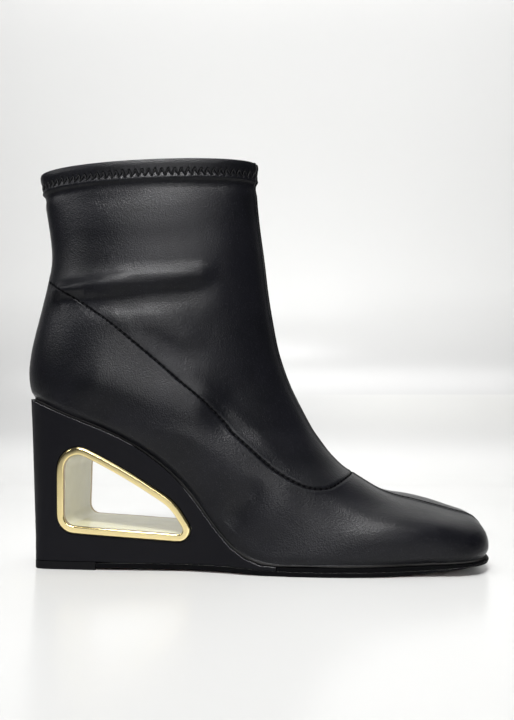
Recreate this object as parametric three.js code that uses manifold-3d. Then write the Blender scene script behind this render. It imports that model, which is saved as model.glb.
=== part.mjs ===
// Pull-on ankle boot for the right foot, on a covered wedge with a window right through it.
// X runs from the heel to the toe, +Y is the inner side of the foot and Z is up, in millimetres.
import * as THREE from "three";
import { mergeVertices } from "three/addons/utils/BufferGeometryUtils.js";
import Module from "manifold-3d";

// Driving dimensions of the last and the shaft
const bootLength = 234; // back of the counter to the tip of the toe
const ballWidth = 76;
const shaftHeight = 207; // floor to the front of the collar
const collarDrop = 5.5; // the collar is this much lower at the back
const heelHeight = 84; // floor to the back of the feather line
const vampHeight = 42; // floor to the centre seam at the throat
const toeSpring = 2.2;
const toeTaper = 1.3; // the outsole is this much thinner at its tip
const waistLift = 1.2; // the outsole runs this high behind the ball

// Thicknesses and clearances
const upperWall = 1.8;
const hemDepth = 9.5;
const hemStep = 0.5;
const hemTurn = 0.7; // the hem's lower edge falls back to the shaft over this height
const outsoleThickness = 2.2;
const midsoleThickness = 1.6;
const insoleThickness = 2.5;
const topLiftThickness = 3.8;
const seatGap = 0.3; // between pieces that lie on each other
const insoleFit = 0.5; // between the insole and the inside of the upper
const soleProud = 0.7; // the sole stands out this far past the feather line
const wedgeProud = 1.2; // and the wedge's top edge this far

// Window rims, and the sleeve between them
const rimWidth = 3.7;
const rimProud = 1.1;
const rimDepth = 2.2;
const rimBevel = 0.8;
const windowCrown = 0.8; // the upper side of the window bows up this far

// Places along the boot, as shares of its length
const heelArcEnd = 0.148; // the round back of the feather line ends here
const counterFoot = 0.014; // back of the feather line, under the counter
const toeArcStart = 0.88; // the square toe begins here
const toeFoot = 0.996; // front of the feather line
const wedgeTip = 0.5546;
const topLiftBack = 0.041;
const topLiftFront = 0.181;
const treadArcEnd = 0.092; // the squared back of the tread ends here
const springStart = 0.72;
const taperStart = 0.93;
const waistFall = { from: 0.45, to: 0.55 }; // the outsole comes down to the floor between these
const liftBlend = 0.05; // the wedge's underside leaves the top lift over this share

// Powers of the rounded outlines: 2 is an ellipse, more is squarer
const toePower = 2.9;
const treadPower = 4;
const springPower = 1.3; // how the toe spring grows

// How finely the curved pieces are cut
const halfColumns = 24; // from the back, or the feather line, to the front line
const heelColumns = 7; // as many of them end on the round back of the feather line
const strideSteps = 24; // points of an arc before it is divided evenly
const baseCrowding = 1.6; // power by which they crowd towards the base
const leastSwell = 0.01; // the widest place lies at least this far out from the base
const leastStride = 1; // an edge's first point has at least this much room after it
const leastRailStep = 0.004; // and the wedge's last point this much before it, as a rail value
const hemRows = 2; // the collar's edge and the hem's lower edge
const counterCuts = 3; // strips between the shaft's last section and the heel's feather line
const wedgeLevels = 4;
const cornerCuts = 7;
const sideCuts = 6;
const waistCuts = 12;
const treadCuts = 10;
const joinDistance = 1e-3; // points closer than this are one point

// Feather line and tread. Widths are shares of half the ball width, the rise is a share of
// the heel's rise over the forefoot, and the tread is a share of the feather line's width.
const stations = [
  { at: 0.0, lateral: 0.76, medial: 0.74, rise: 1.0, tread: 0.79 },
  { at: 0.05, lateral: 0.76, medial: 0.74, rise: 0.958, tread: 0.8 },
  { at: 0.1, lateral: 0.76, medial: 0.74, rise: 0.903, tread: 0.82 },
  { at: 0.15, lateral: 0.765, medial: 0.74, rise: 0.846, tread: 0.845 },
  { at: 0.2, lateral: 0.765, medial: 0.735, rise: 0.788, tread: 0.87 },
  { at: 0.25, lateral: 0.755, medial: 0.715, rise: 0.717, tread: 0.895 },
  { at: 0.3, lateral: 0.74, medial: 0.685, rise: 0.621, tread: 0.92 },
  { at: 0.35, lateral: 0.735, medial: 0.655, rise: 0.497, tread: 0.945 },
  { at: 0.375, lateral: 0.74, medial: 0.65, rise: 0.414, tread: 0.955 },
  { at: 0.4, lateral: 0.755, medial: 0.65, rise: 0.321, tread: 0.97 },
  { at: 0.425, lateral: 0.785, medial: 0.66, rise: 0.224, tread: 0.98 },
  { at: 0.45, lateral: 0.82, medial: 0.68, rise: 0.138, tread: 0.99 },
  { at: 0.475, lateral: 0.86, medial: 0.705, rise: 0.071, tread: 1.0 },
  { at: 0.5, lateral: 0.9, medial: 0.74, rise: 0.03, tread: 1.0 },
  { at: 0.53, lateral: 0.935, medial: 0.785, rise: 0.004, tread: 1.0 },
  { at: 0.56, lateral: 0.96, medial: 0.83, rise: 0.0, tread: 1.0 },
  { at: 0.65, lateral: 0.995, medial: 0.945, rise: 0.0, tread: 1.0 },
  { at: 0.73, lateral: 0.99, medial: 0.985, rise: 0.0, tread: 1.0 },
  { at: 0.8, lateral: 0.94, medial: 0.945, rise: 0.0, tread: 1.0 },
  { at: 0.88, lateral: 0.895, medial: 0.89, rise: 0.0, tread: 1.0 },
  { at: 1.0, lateral: 0.94, medial: 0.945, rise: 0.0, tread: 1.0 },
];

// Sections of the upper, from the collar to the toe. Each runs between a point of the front line
// and a point behind it. ridgeAt and backAt are shares of the length. A level runs from 0 at the
// toe's feather line over 1 at the throat and 2 at the heel's feather line to 3 at the collar.
// lateral and medial are the widest places, as shares of half the ball width, and widest is where
// they lie between back and front. front and back are the powers of the two arcs.
const shaftSections = [
  { ridgeAt: 0.512, ridgeLevel: 3.0, backAt: 0.016, backLevel: 3.0,
    lateral: 0.53, medial: 0.53, widest: 0.45, front: 2.0, back: 2.1 },
  { ridgeAt: 0.5125, ridgeLevel: 2.846, backAt: 0.031, backLevel: 2.826,
    lateral: 0.565, medial: 0.565, widest: 0.44, front: 2.0, back: 2.1 },
  { ridgeAt: 0.5165, ridgeLevel: 2.756, backAt: 0.0424, backLevel: 2.714,
    lateral: 0.61, medial: 0.61, widest: 0.43, front: 2.0, back: 2.1 },
  { ridgeAt: 0.525, ridgeLevel: 2.634, backAt: 0.0475, backLevel: 2.613,
    lateral: 0.645, medial: 0.64, widest: 0.42, front: 2.0, back: 2.05 },
  { ridgeAt: 0.5332, ridgeLevel: 2.512, backAt: 0.04, backLevel: 2.511,
    lateral: 0.68, medial: 0.675, widest: 0.4, front: 1.95, back: 2.05 },
  { ridgeAt: 0.5409, ridgeLevel: 2.382, backAt: 0.027, backLevel: 2.391,
    lateral: 0.725, medial: 0.715, widest: 0.37, front: 1.95, back: 2.05 },
  { ridgeAt: 0.5559, ridgeLevel: 2.22, backAt: 0.0081, backLevel: 2.238,
    lateral: 0.77, medial: 0.76, widest: 0.32, front: 1.95, back: 2.1 },
  { ridgeAt: 0.5743, ridgeLevel: 2.114, backAt: 0.0, backLevel: 2.119,
    lateral: 0.795, medial: 0.78, widest: 0.285, front: 1.95, back: 2.1 },
  { ridgeAt: 0.5855, ridgeLevel: 2.055, backAt: 0.0035, backLevel: 2.055,
    lateral: 0.81, medial: 0.79, widest: 0.275, front: 1.95, back: 2.05 },
];

// Sections that start on the feather line. rail is their place on it: 1 at the end of the heel's
// arc, 2 at the start of the square toe. lean is how far the top rises towards the inner side.
const footSections = [
  { ridgeAt: 0.636, ridgeLevel: 1.595, rail: 1.0, lateral: 0.83, medial: 0.795,
    widest: 0.26, front: 1.95, back: 2.0, lean: 0, cuts: 3 },
  { ridgeAt: 0.666, ridgeLevel: 1.357, rail: 1.111, lateral: 0.835, medial: 0.775,
    widest: 0.34, front: 2.0, back: 2.0, lean: 0, cuts: 3 },
  { ridgeAt: 0.7, ridgeLevel: 1.155, rail: 1.228, lateral: 0.84, medial: 0.75,
    widest: 0.4, front: 2.0, back: 2.0, lean: 0.02, cuts: 3 },
  { ridgeAt: 0.739, ridgeLevel: 1.02, rail: 1.332, lateral: 0.865, medial: 0.765,
    widest: 0.43, front: 2.15, back: 2.0, lean: 0.05, cuts: 3 },
  { ridgeAt: 0.777, ridgeLevel: 0.872, rail: 1.43, lateral: 0.92, medial: 0.83,
    widest: 0.45, front: 2.35, back: 2.0, lean: 0.08, cuts: 3 },
  { ridgeAt: 0.812, ridgeLevel: 0.778, rail: 1.5556, lateral: 0.98, medial: 0.92,
    widest: 0.44, front: 2.6, back: 2.0, lean: 0.11, cuts: 3 },
  { ridgeAt: 0.846, ridgeLevel: 0.722, rail: 1.68, lateral: 1.015, medial: 0.985,
    widest: 0.4, front: 2.8, back: 2.0, lean: 0.13, cuts: 2 },
  { ridgeAt: 0.88, ridgeLevel: 0.665, rail: 1.814, lateral: 1.005, medial: 1.0,
    widest: 0.34, front: 2.9, back: 2.0, lean: 0.13, cuts: 2 },
  { ridgeAt: 0.914, ridgeLevel: 0.608, rail: 1.907, lateral: 0.96, medial: 0.955,
    widest: 0.28, front: 3.0, back: 2.0, lean: 0.12, cuts: 1 },
  { ridgeAt: 0.944, ridgeLevel: 0.551, rail: 1.95, lateral: 0.925, medial: 0.92,
    widest: 0.22, front: 3.0, back: 2.0, lean: 0.1, cuts: 1 },
  { ridgeAt: 0.967, ridgeLevel: 0.515, rail: 1.973, lateral: 0.91, medial: 0.905,
    widest: 0.16, front: 3.0, back: 2.0, lean: 0.09, cuts: 2 },
  { ridgeAt: 0.9855, ridgeLevel: 0.438, rail: 1.985, lateral: 0.905, medial: 0.9,
    widest: 0.12, front: 3.0, back: 2.0, lean: 0.08, cuts: 2 },
  { ridgeAt: 0.9965, ridgeLevel: 0.305, rail: 1.992, lateral: 0.9, medial: 0.895,
    widest: 0.08, front: 3.0, back: 2.0, lean: 0.05, cuts: 2 },
  { ridgeAt: 1.0, ridgeLevel: 0.135, rail: 1.997, lateral: 0.897, medial: 0.892,
    widest: 0.04, front: 2.95, back: 2.0, lean: 0.02, cuts: 1 },
  { ridgeAt: toeFoot, ridgeLevel: 0, rail: 2, lateral: 0.895, medial: 0.89,
    widest: 0, front: toePower, back: 2, lean: 0, cuts: 1 },
];

// Corners of the window, before they are rounded. at is a share of the length, rise and radius
// are shares of the heel height.
const windowCorners = [
  { at: 0.0975, rise: 0.805, radius: 0.131 },
  { at: 0.3485, rise: 0.405, radius: 0.36 },
  { at: 0.4051, rise: 0.1536, radius: 0.075 },
  { at: 0.0975, rise: 0.2095, radius: 0.113 },
];
const crownedSide = 0; // the side that starts at this corner bows up

const halfBall = ballWidth / 2;
const lastColumn = 2 * halfColumns;
const forefootStack = outsoleThickness + midsoleThickness + 2 * seatGap;
const sides = { lateral: -1, medial: 1 };

const { clamp, lerp, smoothstep } = THREE.MathUtils;

// A smooth curve through the values of one column, read between two rows
function readCurve(places, values, place) {
  const last = places.length - 1;
  const at = clamp(place, places[0], places[last]);
  let row = 0;
  while (row < last - 1 && places[row + 1] < at) row += 1;
  const span = places[row + 1] - places[row];
  const share = (at - places[row]) / span;
  const slope = (index) => {
    const before = Math.max(index - 1, 0);
    const after = Math.min(index + 1, last);
    return (values[after] - values[before]) / (places[after] - places[before]);
  };
  const square = share * share;
  const cube = square * share;
  return (2 * cube - 3 * square + 1) * values[row] +
    (cube - 2 * square + share) * span * slope(row) +
    (3 * square - 2 * cube) * values[row + 1] +
    (cube - square) * span * slope(row + 1);
}

const stationPlaces = stations.map((station) => station.at);

function stationValue(column, x) {
  return readCurve(stationPlaces, stations.map((station) => station[column]), x / bootLength);
}

// Height of the feather line, on which the upper, the insole and the wedge meet
function featherHeight(x) {
  return forefootStack + springHeight(x) +
    Math.max(0, stationValue("rise", x)) * (heelHeight - forefootStack);
}

function springHeight(x) {
  const share = Math.max(0, x / bootLength - springStart) / (1 - springStart);
  return toeSpring * Math.pow(share, springPower);
}

function waistHeight(x) {
  return waistLift * (1 - smoothstep(x / bootLength, waistFall.from, waistFall.to));
}

// The outsole's two faces
function treadHeight(x) {
  const share = Math.max(0, x / bootLength - taperStart) / (1 - taperStart);
  return waistHeight(x) + springHeight(x) + toeTaper * share * share;
}

function outsoleTop(x) {
  return waistHeight(x) + springHeight(x) + outsoleThickness;
}

// Height of a level of the front line, and of the back line
function ridgeHeight(level) {
  const toeHeight = forefootStack + springHeight(toeFoot * bootLength);
  const marks = [toeHeight, vampHeight, heelHeight, shaftHeight];
  const span = Math.min(Math.floor(level), 2);
  return lerp(marks[span], marks[span + 1], level - span);
}

function backHeight(level) {
  return lerp(heelHeight, shaftHeight - collarDrop, level - 2);
}

// Place and half widths of the feather line at a rail value up to 2
function railPoint(rail) {
  const arcEnd = heelArcEnd * bootLength;
  const turn = clamp(rail, 0, 1) * Math.PI / 2;
  const reach = (heelArcEnd - counterFoot) * bootLength;
  const x = rail <= 1
    ? arcEnd - reach * Math.cos(turn)
    : lerp(arcEnd, toeArcStart * bootLength, rail - 1);
  const round = Math.sin(turn);
  return {
    x,
    lateral: stationValue("lateral", x) * halfBall * round,
    medial: stationValue("medial", x) * halfBall * round,
  };
}

function railOf(x) {
  return 1 + (x / bootLength - heelArcEnd) / (toeArcStart - heelArcEnd);
}

// Reads the columns of a table of sections between two of its rows
function sectionReader(table, step) {
  const places = table.map((_, index) => index);
  return (column) => readCurve(places, table.map((section) => section[column]), step);
}

// Half of a section, from its base over the widest place to the front line
function halfSection(section, side, count) {
  const { front, back, value, lean } = section;
  const base = section.base[side];
  const widest = Math.max(value(side) * halfBall, base + leastSwell);
  const middle = Math.max(value("widest"), 0);
  const frontPower = value("front");
  const backPower = value("back");
  const kept = Math.pow(1 - Math.pow(base / widest, backPower), 1 / backPower);
  const points = [];
  const add = (along, width) => {
    const y = sides[side] * width;
    const z = lerp(back.z, front.z, along) + lean * y * along * along;
    points.push(new THREE.Vector3(lerp(back.x, front.x, along), y, z));
  };
  for (let cut = 0; cut < strideSteps && middle > 0; cut += 1) {
    const along = kept * (1 - Math.pow(cut / strideSteps, baseCrowding));
    add(middle * (1 - along / kept),
      widest * Math.pow(1 - Math.pow(along, backPower), 1 / backPower));
  }
  for (let cut = 0; cut <= strideSteps; cut += 1) {
    const turn = cut / strideSteps * Math.PI / 2;
    add(middle + (1 - middle) * Math.pow(Math.sin(turn), 2 / frontPower),
      widest * Math.pow(Math.max(Math.cos(turn), 0), 2 / frontPower));
  }
  points[0].y = sides[side] * base;
  points[points.length - 1].y = 0;
  return new THREE.CatmullRomCurve3(points).getSpacedPoints(count);
}

// Both halves of a section, with their columns counted from the lateral to the medial base.
// first is the column at the lateral base.
function wholeSection(section, first) {
  const count = halfColumns - first;
  const points = [];
  const lateral = halfSection(section, "lateral", count);
  const medial = halfSection(section, "medial", count);
  for (let at = 0; at <= count; at += 1) {
    points[first + at] = lateral[at];
    points[lastColumn - first - at] = medial[at];
  }
  points[halfColumns] = lateral[count];
  return { points, first, rail: section.rail };
}

// A closed section of the shaft
function shaftRow(step) {
  const value = sectionReader(shaftSections, step);
  return wholeSection({
    value,
    lean: 0,
    base: { lateral: 0, medial: 0 },
    front: { x: value("ridgeAt") * bootLength, z: ridgeHeight(value("ridgeLevel")) },
    back: { x: value("backAt") * bootLength, z: backHeight(value("backLevel")) },
  }, 0);
}

// A section that starts on the feather line
function footRow(step) {
  const value = sectionReader(footSections, step);
  const rail = clamp(value("rail"), 1, 2);
  const base = railPoint(rail);
  return wholeSection({
    value,
    lean: value("lean"),
    rail,
    base,
    front: { x: value("ridgeAt") * bootLength, z: ridgeHeight(value("ridgeLevel")) },
    back: { x: base.x, z: featherHeight(base.x) },
  }, heelColumns);
}

// The section that runs along the feather line round the heel, and then over the instep
function heelRow() {
  const row = footRow(0);
  for (let column = 0; column < heelColumns; column += 1) {
    const place = railPoint(column / heelColumns);
    const z = featherHeight(place.x);
    row.points[column] = new THREE.Vector3(place.x, -place.lateral, z);
    row.points[lastColumn - column] = new THREE.Vector3(place.x, place.medial, z);
  }
  return { points: row.points, first: 0 };
}

// Strips of the counter, between the last section of the shaft and the heel's feather line
function counterRows(above, from, to, below) {
  const made = [];
  for (let cut = 1; cut < counterCuts; cut += 1) {
    const points = from.points.map((point, column) => {
      const after = below.points[column] ??
        to.points[column].clone().multiplyScalar(2).sub(point);
      const way = [above.points[column], point, to.points[column], after];
      return new THREE.CatmullRomCurve3(way).getPoint((1 + cut / counterCuts) / 3);
    });
    made.push({ points, first: 0 });
  }
  return made;
}

// All rows of the upper's skin, from the collar to the toe, with two close rows at the lower
// edge of the hem
function upperRows() {
  const span = shaftHeight - ridgeHeight(shaftSections[1].ridgeLevel);
  const shaftSteps = [0, hemDepth / span, (hemDepth + hemTurn) / span];
  for (let step = 1; step < shaftSections.length; step += 1) shaftSteps.push(step);
  const shaft = shaftSteps.map(shaftRow);
  const footSteps = [];
  footSections.slice(0, -1).forEach(({ cuts }, index) => {
    for (let cut = 0; cut < cuts; cut += 1) footSteps.push(index + cut / cuts);
  });
  footSteps.push(footSections.length - 1);
  const foot = footSteps.slice(1).map(footRow);
  const heel = heelRow();
  const counter = counterRows(shaft.at(-2), shaft.at(-1), heel, foot[0]);
  return { rows: [...shaft, ...counter, heel, ...foot], heelAt: shaft.length + counter.length };
}

// A closed body from points and faces, with its double points joined and its faces turned out
function bodyFrom(positions, faces) {
  const flat = faces.flatMap((face) => face.flatMap((index) => positions[index].toArray()));
  const loose = new THREE.BufferGeometry();
  loose.setAttribute("position", new THREE.Float32BufferAttribute(flat, 3));
  const merged = mergeVertices(loose, joinDistance);
  const whole = [];
  for (let at = 0; at < merged.index.count; at += 3) {
    const [a, b, c] = merged.index.array.slice(at, at + 3);
    if (a !== b && b !== c && c !== a) whole.push(a, b, c);
  }
  merged.setIndex(whole);
  if (signedVolume(merged) < 0) merged.index.array.reverse();
  merged.computeVertexNormals();
  return merged;
}

function signedVolume(geometry) {
  const place = geometry.getAttribute("position");
  const corner = (at) => new THREE.Vector3().fromBufferAttribute(place, geometry.index.array[at]);
  let volume = 0;
  for (let at = 0; at < geometry.index.count; at += 3)
    volume += corner(at).dot(corner(at + 1).cross(corner(at + 2))) / 6;
  return volume;
}

// Two faces of a four-cornered patch
function patch(a, b, c, d) {
  return [[a, b, c], [a, c, d]];
}

// Unit vectors that point out of each row of the upper's skin
function skinNormals(rows) {
  return rows.map((row, at) => row.points.map((point, column) => {
    const closed = row.first === 0;
    const before = row.points[column - 1] ?? (closed ? row.points[lastColumn - 1] : point);
    const after = row.points[column + 1] ?? (closed ? row.points[1] : point);
    const above = rows[at - 1]?.points[column] ?? point;
    const below = rows[at + 1]?.points[column] ?? point;
    const along = new THREE.Vector3().subVectors(after, before);
    const down = new THREE.Vector3().subVectors(below, above);
    return new THREE.Vector3().crossVectors(down, along).normalize();
  }));
}

// The lateral points of the skin that lie on the feather line, from the back to the toe's tip
function featherSteps(rows, heelAt) {
  const end = rows.length - 1;
  const steps = [];
  for (let column = 0; column <= heelColumns; column += 1)
    steps.push({ at: heelAt, column, rail: column / heelColumns });
  for (let at = heelAt + 1; at <= end; at += 1)
    steps.push({ at, column: heelColumns, rail: rows[at].rail });
  for (let column = heelColumns + 1; column <= halfColumns; column += 1)
    steps.push({ at: end, column, rail: 2 });
  return steps;
}

// Pairs of lateral and medial points on the feather line
function featherPairs(rows, steps) {
  return steps.map(({ at, column }) => ({
    lateral: rows[at].points[column].clone(),
    medial: rows[at].points[lastColumn - column].clone(),
  }));
}

// The same pairs moved out level by a distance, or in by a negative one
function movedPairs(pairs, distance) {
  const loop = [
    ...pairs.map((pair) => pair.lateral),
    ...pairs.slice(1, -1).reverse().map((pair) => pair.medial),
  ];
  const moved = loop.map((point, at) => {
    const before = loop[(at + loop.length - 1) % loop.length];
    const after = loop[(at + 1) % loop.length];
    const ahead = new THREE.Vector3().subVectors(after, point).setZ(0).normalize();
    const behind = new THREE.Vector3().subVectors(point, before).setZ(0).normalize();
    const run = ahead.add(behind).normalize();
    return new THREE.Vector3(point.x + run.y * distance, point.y - run.x * distance, point.z);
  });
  const count = pairs.length;
  return pairs.map((_, at) => ({
    lateral: moved[at],
    medial: at === 0 || at === count - 1 ? moved[at] : moved[loop.length - at],
  }));
}

// Stretch upper with its hem: one shell, open at the collar and along the feather line
function makeUpper(rows, steps) {
  const normals = skinNormals(rows);
  const offset = (distance, count) => rows.map((row, at) => row.points.map((point, column) =>
    point.clone().addScaledVector(normals[at][column], at < count ? distance : 0)));
  const outer = offset(hemStep, hemRows);
  const inner = offset(-upperWall, rows.length);
  seatInnerEdge(rows, steps, inner);
  const positions = [];
  const indexOf = new Map();
  const number = (point) => {
    if (!indexOf.has(point)) indexOf.set(point, positions.push(point) - 1);
    return indexOf.get(point);
  };
  const faces = [];
  const quad = (a, b, c, d) => faces.push(...patch(number(a), number(b), number(c), number(d)));
  for (let at = 0; at < rows.length - 1; at += 1) {
    const { first } = rows[at + 1];
    for (let column = first; column < lastColumn - first; column += 1) {
      quad(outer[at][column], outer[at + 1][column],
        outer[at + 1][column + 1], outer[at][column + 1]);
      quad(inner[at][column], inner[at][column + 1],
        inner[at + 1][column + 1], inner[at + 1][column]);
    }
  }
  for (let column = 0; column < lastColumn; column += 1)
    quad(outer[0][column], outer[0][column + 1], inner[0][column + 1], inner[0][column]);
  steps.slice(1).forEach((next, index) => {
    const { at, column } = steps[index];
    const across = lastColumn - column;
    const nextAcross = lastColumn - next.column;
    quad(outer[at][column], inner[at][column],
      inner[next.at][next.column], outer[next.at][next.column]);
    quad(outer[at][across], outer[next.at][nextAcross],
      inner[next.at][nextAcross], inner[at][across]);
  });
  return bodyFrom(positions, faces);
}

// The inner edge of the upper's foot lies level with its outer edge, a wall's width in from it
function seatInnerEdge(rows, steps, inner) {
  const seat = (point) => new THREE.Vector3(point.x, point.y, featherHeight(point.x));
  movedPairs(featherPairs(rows, steps), -upperWall).forEach((pair, index) => {
    const { at, column } = steps[index];
    inner[at][column] = seat(pair.lateral);
    inner[at][lastColumn - column] = seat(pair.medial);
  });
}

// A body between lists of pairs that lie above each other, lowest first
function bodyFromPairs(levels) {
  const positions = [];
  const lateral = levels.map((pairs) => pairs.map((pair) => positions.push(pair.lateral) - 1));
  const medial = levels.map((pairs) => pairs.map((pair) => positions.push(pair.medial) - 1));
  const faces = [];
  const top = levels.length - 1;
  const end = levels[0].length - 1;
  for (let at = 0; at < end; at += 1) {
    faces.push(...patch(lateral[0][at], medial[0][at], medial[0][at + 1], lateral[0][at + 1]));
    faces.push(...patch(lateral[top][at], lateral[top][at + 1],
      medial[top][at + 1], medial[top][at]));
    for (let level = 0; level < top; level += 1) {
      faces.push(...patch(lateral[level][at], lateral[level][at + 1],
        lateral[level + 1][at + 1], lateral[level + 1][at]));
      faces.push(...patch(medial[level][at], medial[level + 1][at],
        medial[level + 1][at + 1], medial[level][at + 1]));
    }
  }
  for (let level = 0; level < top; level += 1) {
    faces.push(...patch(lateral[level][0], lateral[level + 1][0],
      medial[level + 1][0], medial[level][0]));
    faces.push(...patch(lateral[level][end], medial[level][end],
      medial[level + 1][end], lateral[level + 1][end]));
  }
  return bodyFrom(positions, faces);
}

// The same pairs at the heights of a face
function pairsAt(pairs, heightAt) {
  const lift = (point) => new THREE.Vector3(point.x, point.y, heightAt(point.x));
  return pairs.map((pair) => ({ lateral: lift(pair.lateral), medial: lift(pair.medial) }));
}

// A pair across the feather line at one place, moved out with the sole's edge
function pairAcross(x, proud) {
  const foot = railPoint(railOf(x));
  return {
    lateral: new THREE.Vector3(x, -foot.lateral - proud, 0),
    medial: new THREE.Vector3(x, foot.medial + proud, 0),
  };
}

function makeInsole(pairs) {
  const inside = movedPairs(pairs, -upperWall - insoleFit);
  return bodyFromPairs([
    pairsAt(inside, featherHeight),
    pairsAt(inside, (x) => featherHeight(x) + insoleThickness),
  ]);
}

function makeMidsole(pairs) {
  const back = wedgeTip * bootLength + seatGap;
  const edge = movedPairs(pairs, soleProud)
    .filter((pair) => pair.lateral.x > back + leastStride);
  const outline = [pairAcross(back, soleProud), ...edge];
  return bodyFromPairs([
    pairsAt(outline, (x) => outsoleTop(x) + seatGap),
    pairsAt(outline, (x) => featherHeight(x) - seatGap),
  ]);
}

// Half width of the tread under the wedge
function treadWidth(x, side) {
  return stationValue(side, x) * stationValue("tread", x) * halfBall + soleProud;
}

// Outsole: a thin sheet from the top lift to the tip of the toe
function makeOutsole(pairs) {
  const back = topLiftFront * bootLength + seatGap;
  const tip = wedgeTip * bootLength;
  const outline = [];
  for (let cut = 0; cut < waistCuts; cut += 1) {
    const x = lerp(back, tip, cut / waistCuts);
    outline.push({
      lateral: new THREE.Vector3(x, -treadWidth(x, "lateral"), 0),
      medial: new THREE.Vector3(x, treadWidth(x, "medial"), 0),
    });
  }
  outline.push(...movedPairs(pairs, soleProud).filter((pair) => pair.lateral.x > tip));
  return bodyFromPairs([pairsAt(outline, treadHeight), pairsAt(outline, outsoleTop)]);
}

// Outline of the tread at a rail value: squared at the back, then along the wedge's foot
function treadPoint(rail) {
  const arcEnd = treadArcEnd * bootLength;
  const reach = (treadArcEnd - topLiftBack) * bootLength;
  const turn = clamp(rail, 0, 1) * Math.PI / 2;
  const tipRail = railOf(wedgeTip * bootLength);
  const x = rail <= 1
    ? arcEnd - reach * Math.pow(Math.max(Math.cos(turn), 0), 2 / treadPower)
    : lerp(arcEnd, wedgeTip * bootLength, (rail - 1) / (tipRail - 1));
  const round = Math.pow(Math.sin(turn), 2 / treadPower);
  return {
    lateral: new THREE.Vector3(x, -treadWidth(x, "lateral") * round, 0),
    medial: new THREE.Vector3(x, treadWidth(x, "medial") * round, 0),
  };
}

// Top lift: the plate under the heel
function makeTopLift() {
  const outline = [];
  for (let cut = 0; cut <= treadCuts; cut += 1) outline.push(treadPoint(cut / treadCuts));
  const x = topLiftFront * bootLength;
  outline.push({
    lateral: new THREE.Vector3(x, -treadWidth(x, "lateral"), 0),
    medial: new THREE.Vector3(x, treadWidth(x, "medial"), 0),
  });
  return bodyFromPairs([pairsAt(outline, () => 0), pairsAt(outline, () => topLiftThickness)]);
}

// Underside of the wedge, over the top lift and then over the outsole
function wedgeFoot(x) {
  const overLift = topLiftThickness + seatGap;
  const overSheet = outsoleTop(x) + seatGap;
  const share = smoothstep(x / bootLength, topLiftFront, topLiftFront + liftBlend);
  return lerp(overLift, overSheet, share);
}

// Wedge block before its window is cut: straight walls between the feather line and the tread
function wedgeBlock(steps, pairs) {
  const tip = wedgeTip * bootLength;
  const tipRail = railOf(tip);
  const kept = steps.map((step) => step.rail).filter((rail) => rail < tipRail - leastRailStep);
  const upperEdge = pairsAt([
    ...movedPairs(pairs, wedgeProud).slice(0, kept.length),
    pairAcross(tip, soleProud),
  ], (x) => featherHeight(x) - seatGap);
  const lowerEdge = pairsAt([...kept, tipRail].map(treadPoint), wedgeFoot);
  const levels = [];
  for (let level = 0; level <= wedgeLevels; level += 1) {
    const share = level / wedgeLevels;
    levels.push(lowerEdge.map((pair, at) => ({
      lateral: pair.lateral.clone().lerp(upperEdge[at].lateral, share),
      medial: pair.medial.clone().lerp(upperEdge[at].medial, share),
    })));
  }
  return bodyFromPairs(levels);
}

// Window outline in the XZ plane, moved in from the hole in the wedge: straight sides and
// round corners, always with the same number of points
function windowOutline(inset) {
  const corners = windowCorners.map((corner) => ({
    place: new THREE.Vector2(corner.at * bootLength, corner.rise * heelHeight),
    radius: corner.radius * heelHeight,
  }));
  const arcs = corners.map((corner, index) => {
    const before = corners[(index + corners.length - 1) % corners.length].place;
    const after = corners[(index + 1) % corners.length].place;
    const inward = new THREE.Vector2().subVectors(before, corner.place).normalize();
    const outward = new THREE.Vector2().subVectors(after, corner.place).normalize();
    const halfAngle = Math.acos(clamp(inward.dot(outward), -1, 1)) / 2;
    const bisector = inward.clone().add(outward).normalize();
    const centre = corner.place.clone()
      .addScaledVector(bisector, corner.radius / Math.sin(halfAngle));
    const middle = bisector.clone().negate().angle();
    const sweep = Math.PI / 2 - halfAngle;
    return { centre, middle, sweep, radius: corner.radius - inset };
  });
  const points = [];
  arcs.forEach((arc, index) => {
    for (let cut = 0; cut <= cornerCuts; cut += 1) {
      const angle = arc.middle + arc.sweep * (1 - 2 * cut / cornerCuts);
      points.push(new THREE.Vector2(Math.cos(angle), Math.sin(angle))
        .multiplyScalar(arc.radius).add(arc.centre));
    }
    const next = arcs[(index + 1) % arcs.length];
    const startAngle = arc.middle - arc.sweep;
    const endAngle = next.middle + next.sweep;
    const start = new THREE.Vector2(Math.cos(startAngle), Math.sin(startAngle))
      .multiplyScalar(arc.radius).add(arc.centre);
    const end = new THREE.Vector2(Math.cos(endAngle), Math.sin(endAngle))
      .multiplyScalar(next.radius).add(next.centre);
    const crown = index === crownedSide ? windowCrown : 0;
    for (let cut = 1; cut < sideCuts; cut += 1) {
      const share = cut / sideCuts;
      const point = start.clone().lerp(end, share);
      point.y += crown * 4 * share * (1 - share);
      points.push(point);
    }
  });
  return points;
}

// Y of the wedge's wall at a point of its side view
function wallReader(block) {
  const probe = new THREE.Mesh(block, new THREE.MeshBasicMaterial({ side: THREE.DoubleSide }));
  probe.updateMatrixWorld(true);
  return (point, side) => {
    const from = new THREE.Vector3(point.x, sides[side] * 2 * ballWidth, point.y);
    const ray = new THREE.Raycaster(from, new THREE.Vector3(0, -sides[side], 0));
    return ray.intersectObject(probe)[0].point.y;
  };
}

// A closed ring around the window, from a list of edges: each edge has its inset from the
// hole and its depth, read at each point of the outline
function windowRing(edges) {
  const positions = [];
  const rings = edges.map((edge) => windowOutline(edge.inset)
    .map((point) => positions.push(new THREE.Vector3(point.x, edge.yAt(point), point.y)) - 1));
  const faces = [];
  rings.forEach((ring, at) => {
    const next = rings[(at + 1) % rings.length];
    ring.forEach((index, place) => {
      const after = (place + 1) % ring.length;
      faces.push(...patch(index, ring[after], next[after], next[place]));
    });
  });
  return bodyFrom(positions, faces);
}

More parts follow.
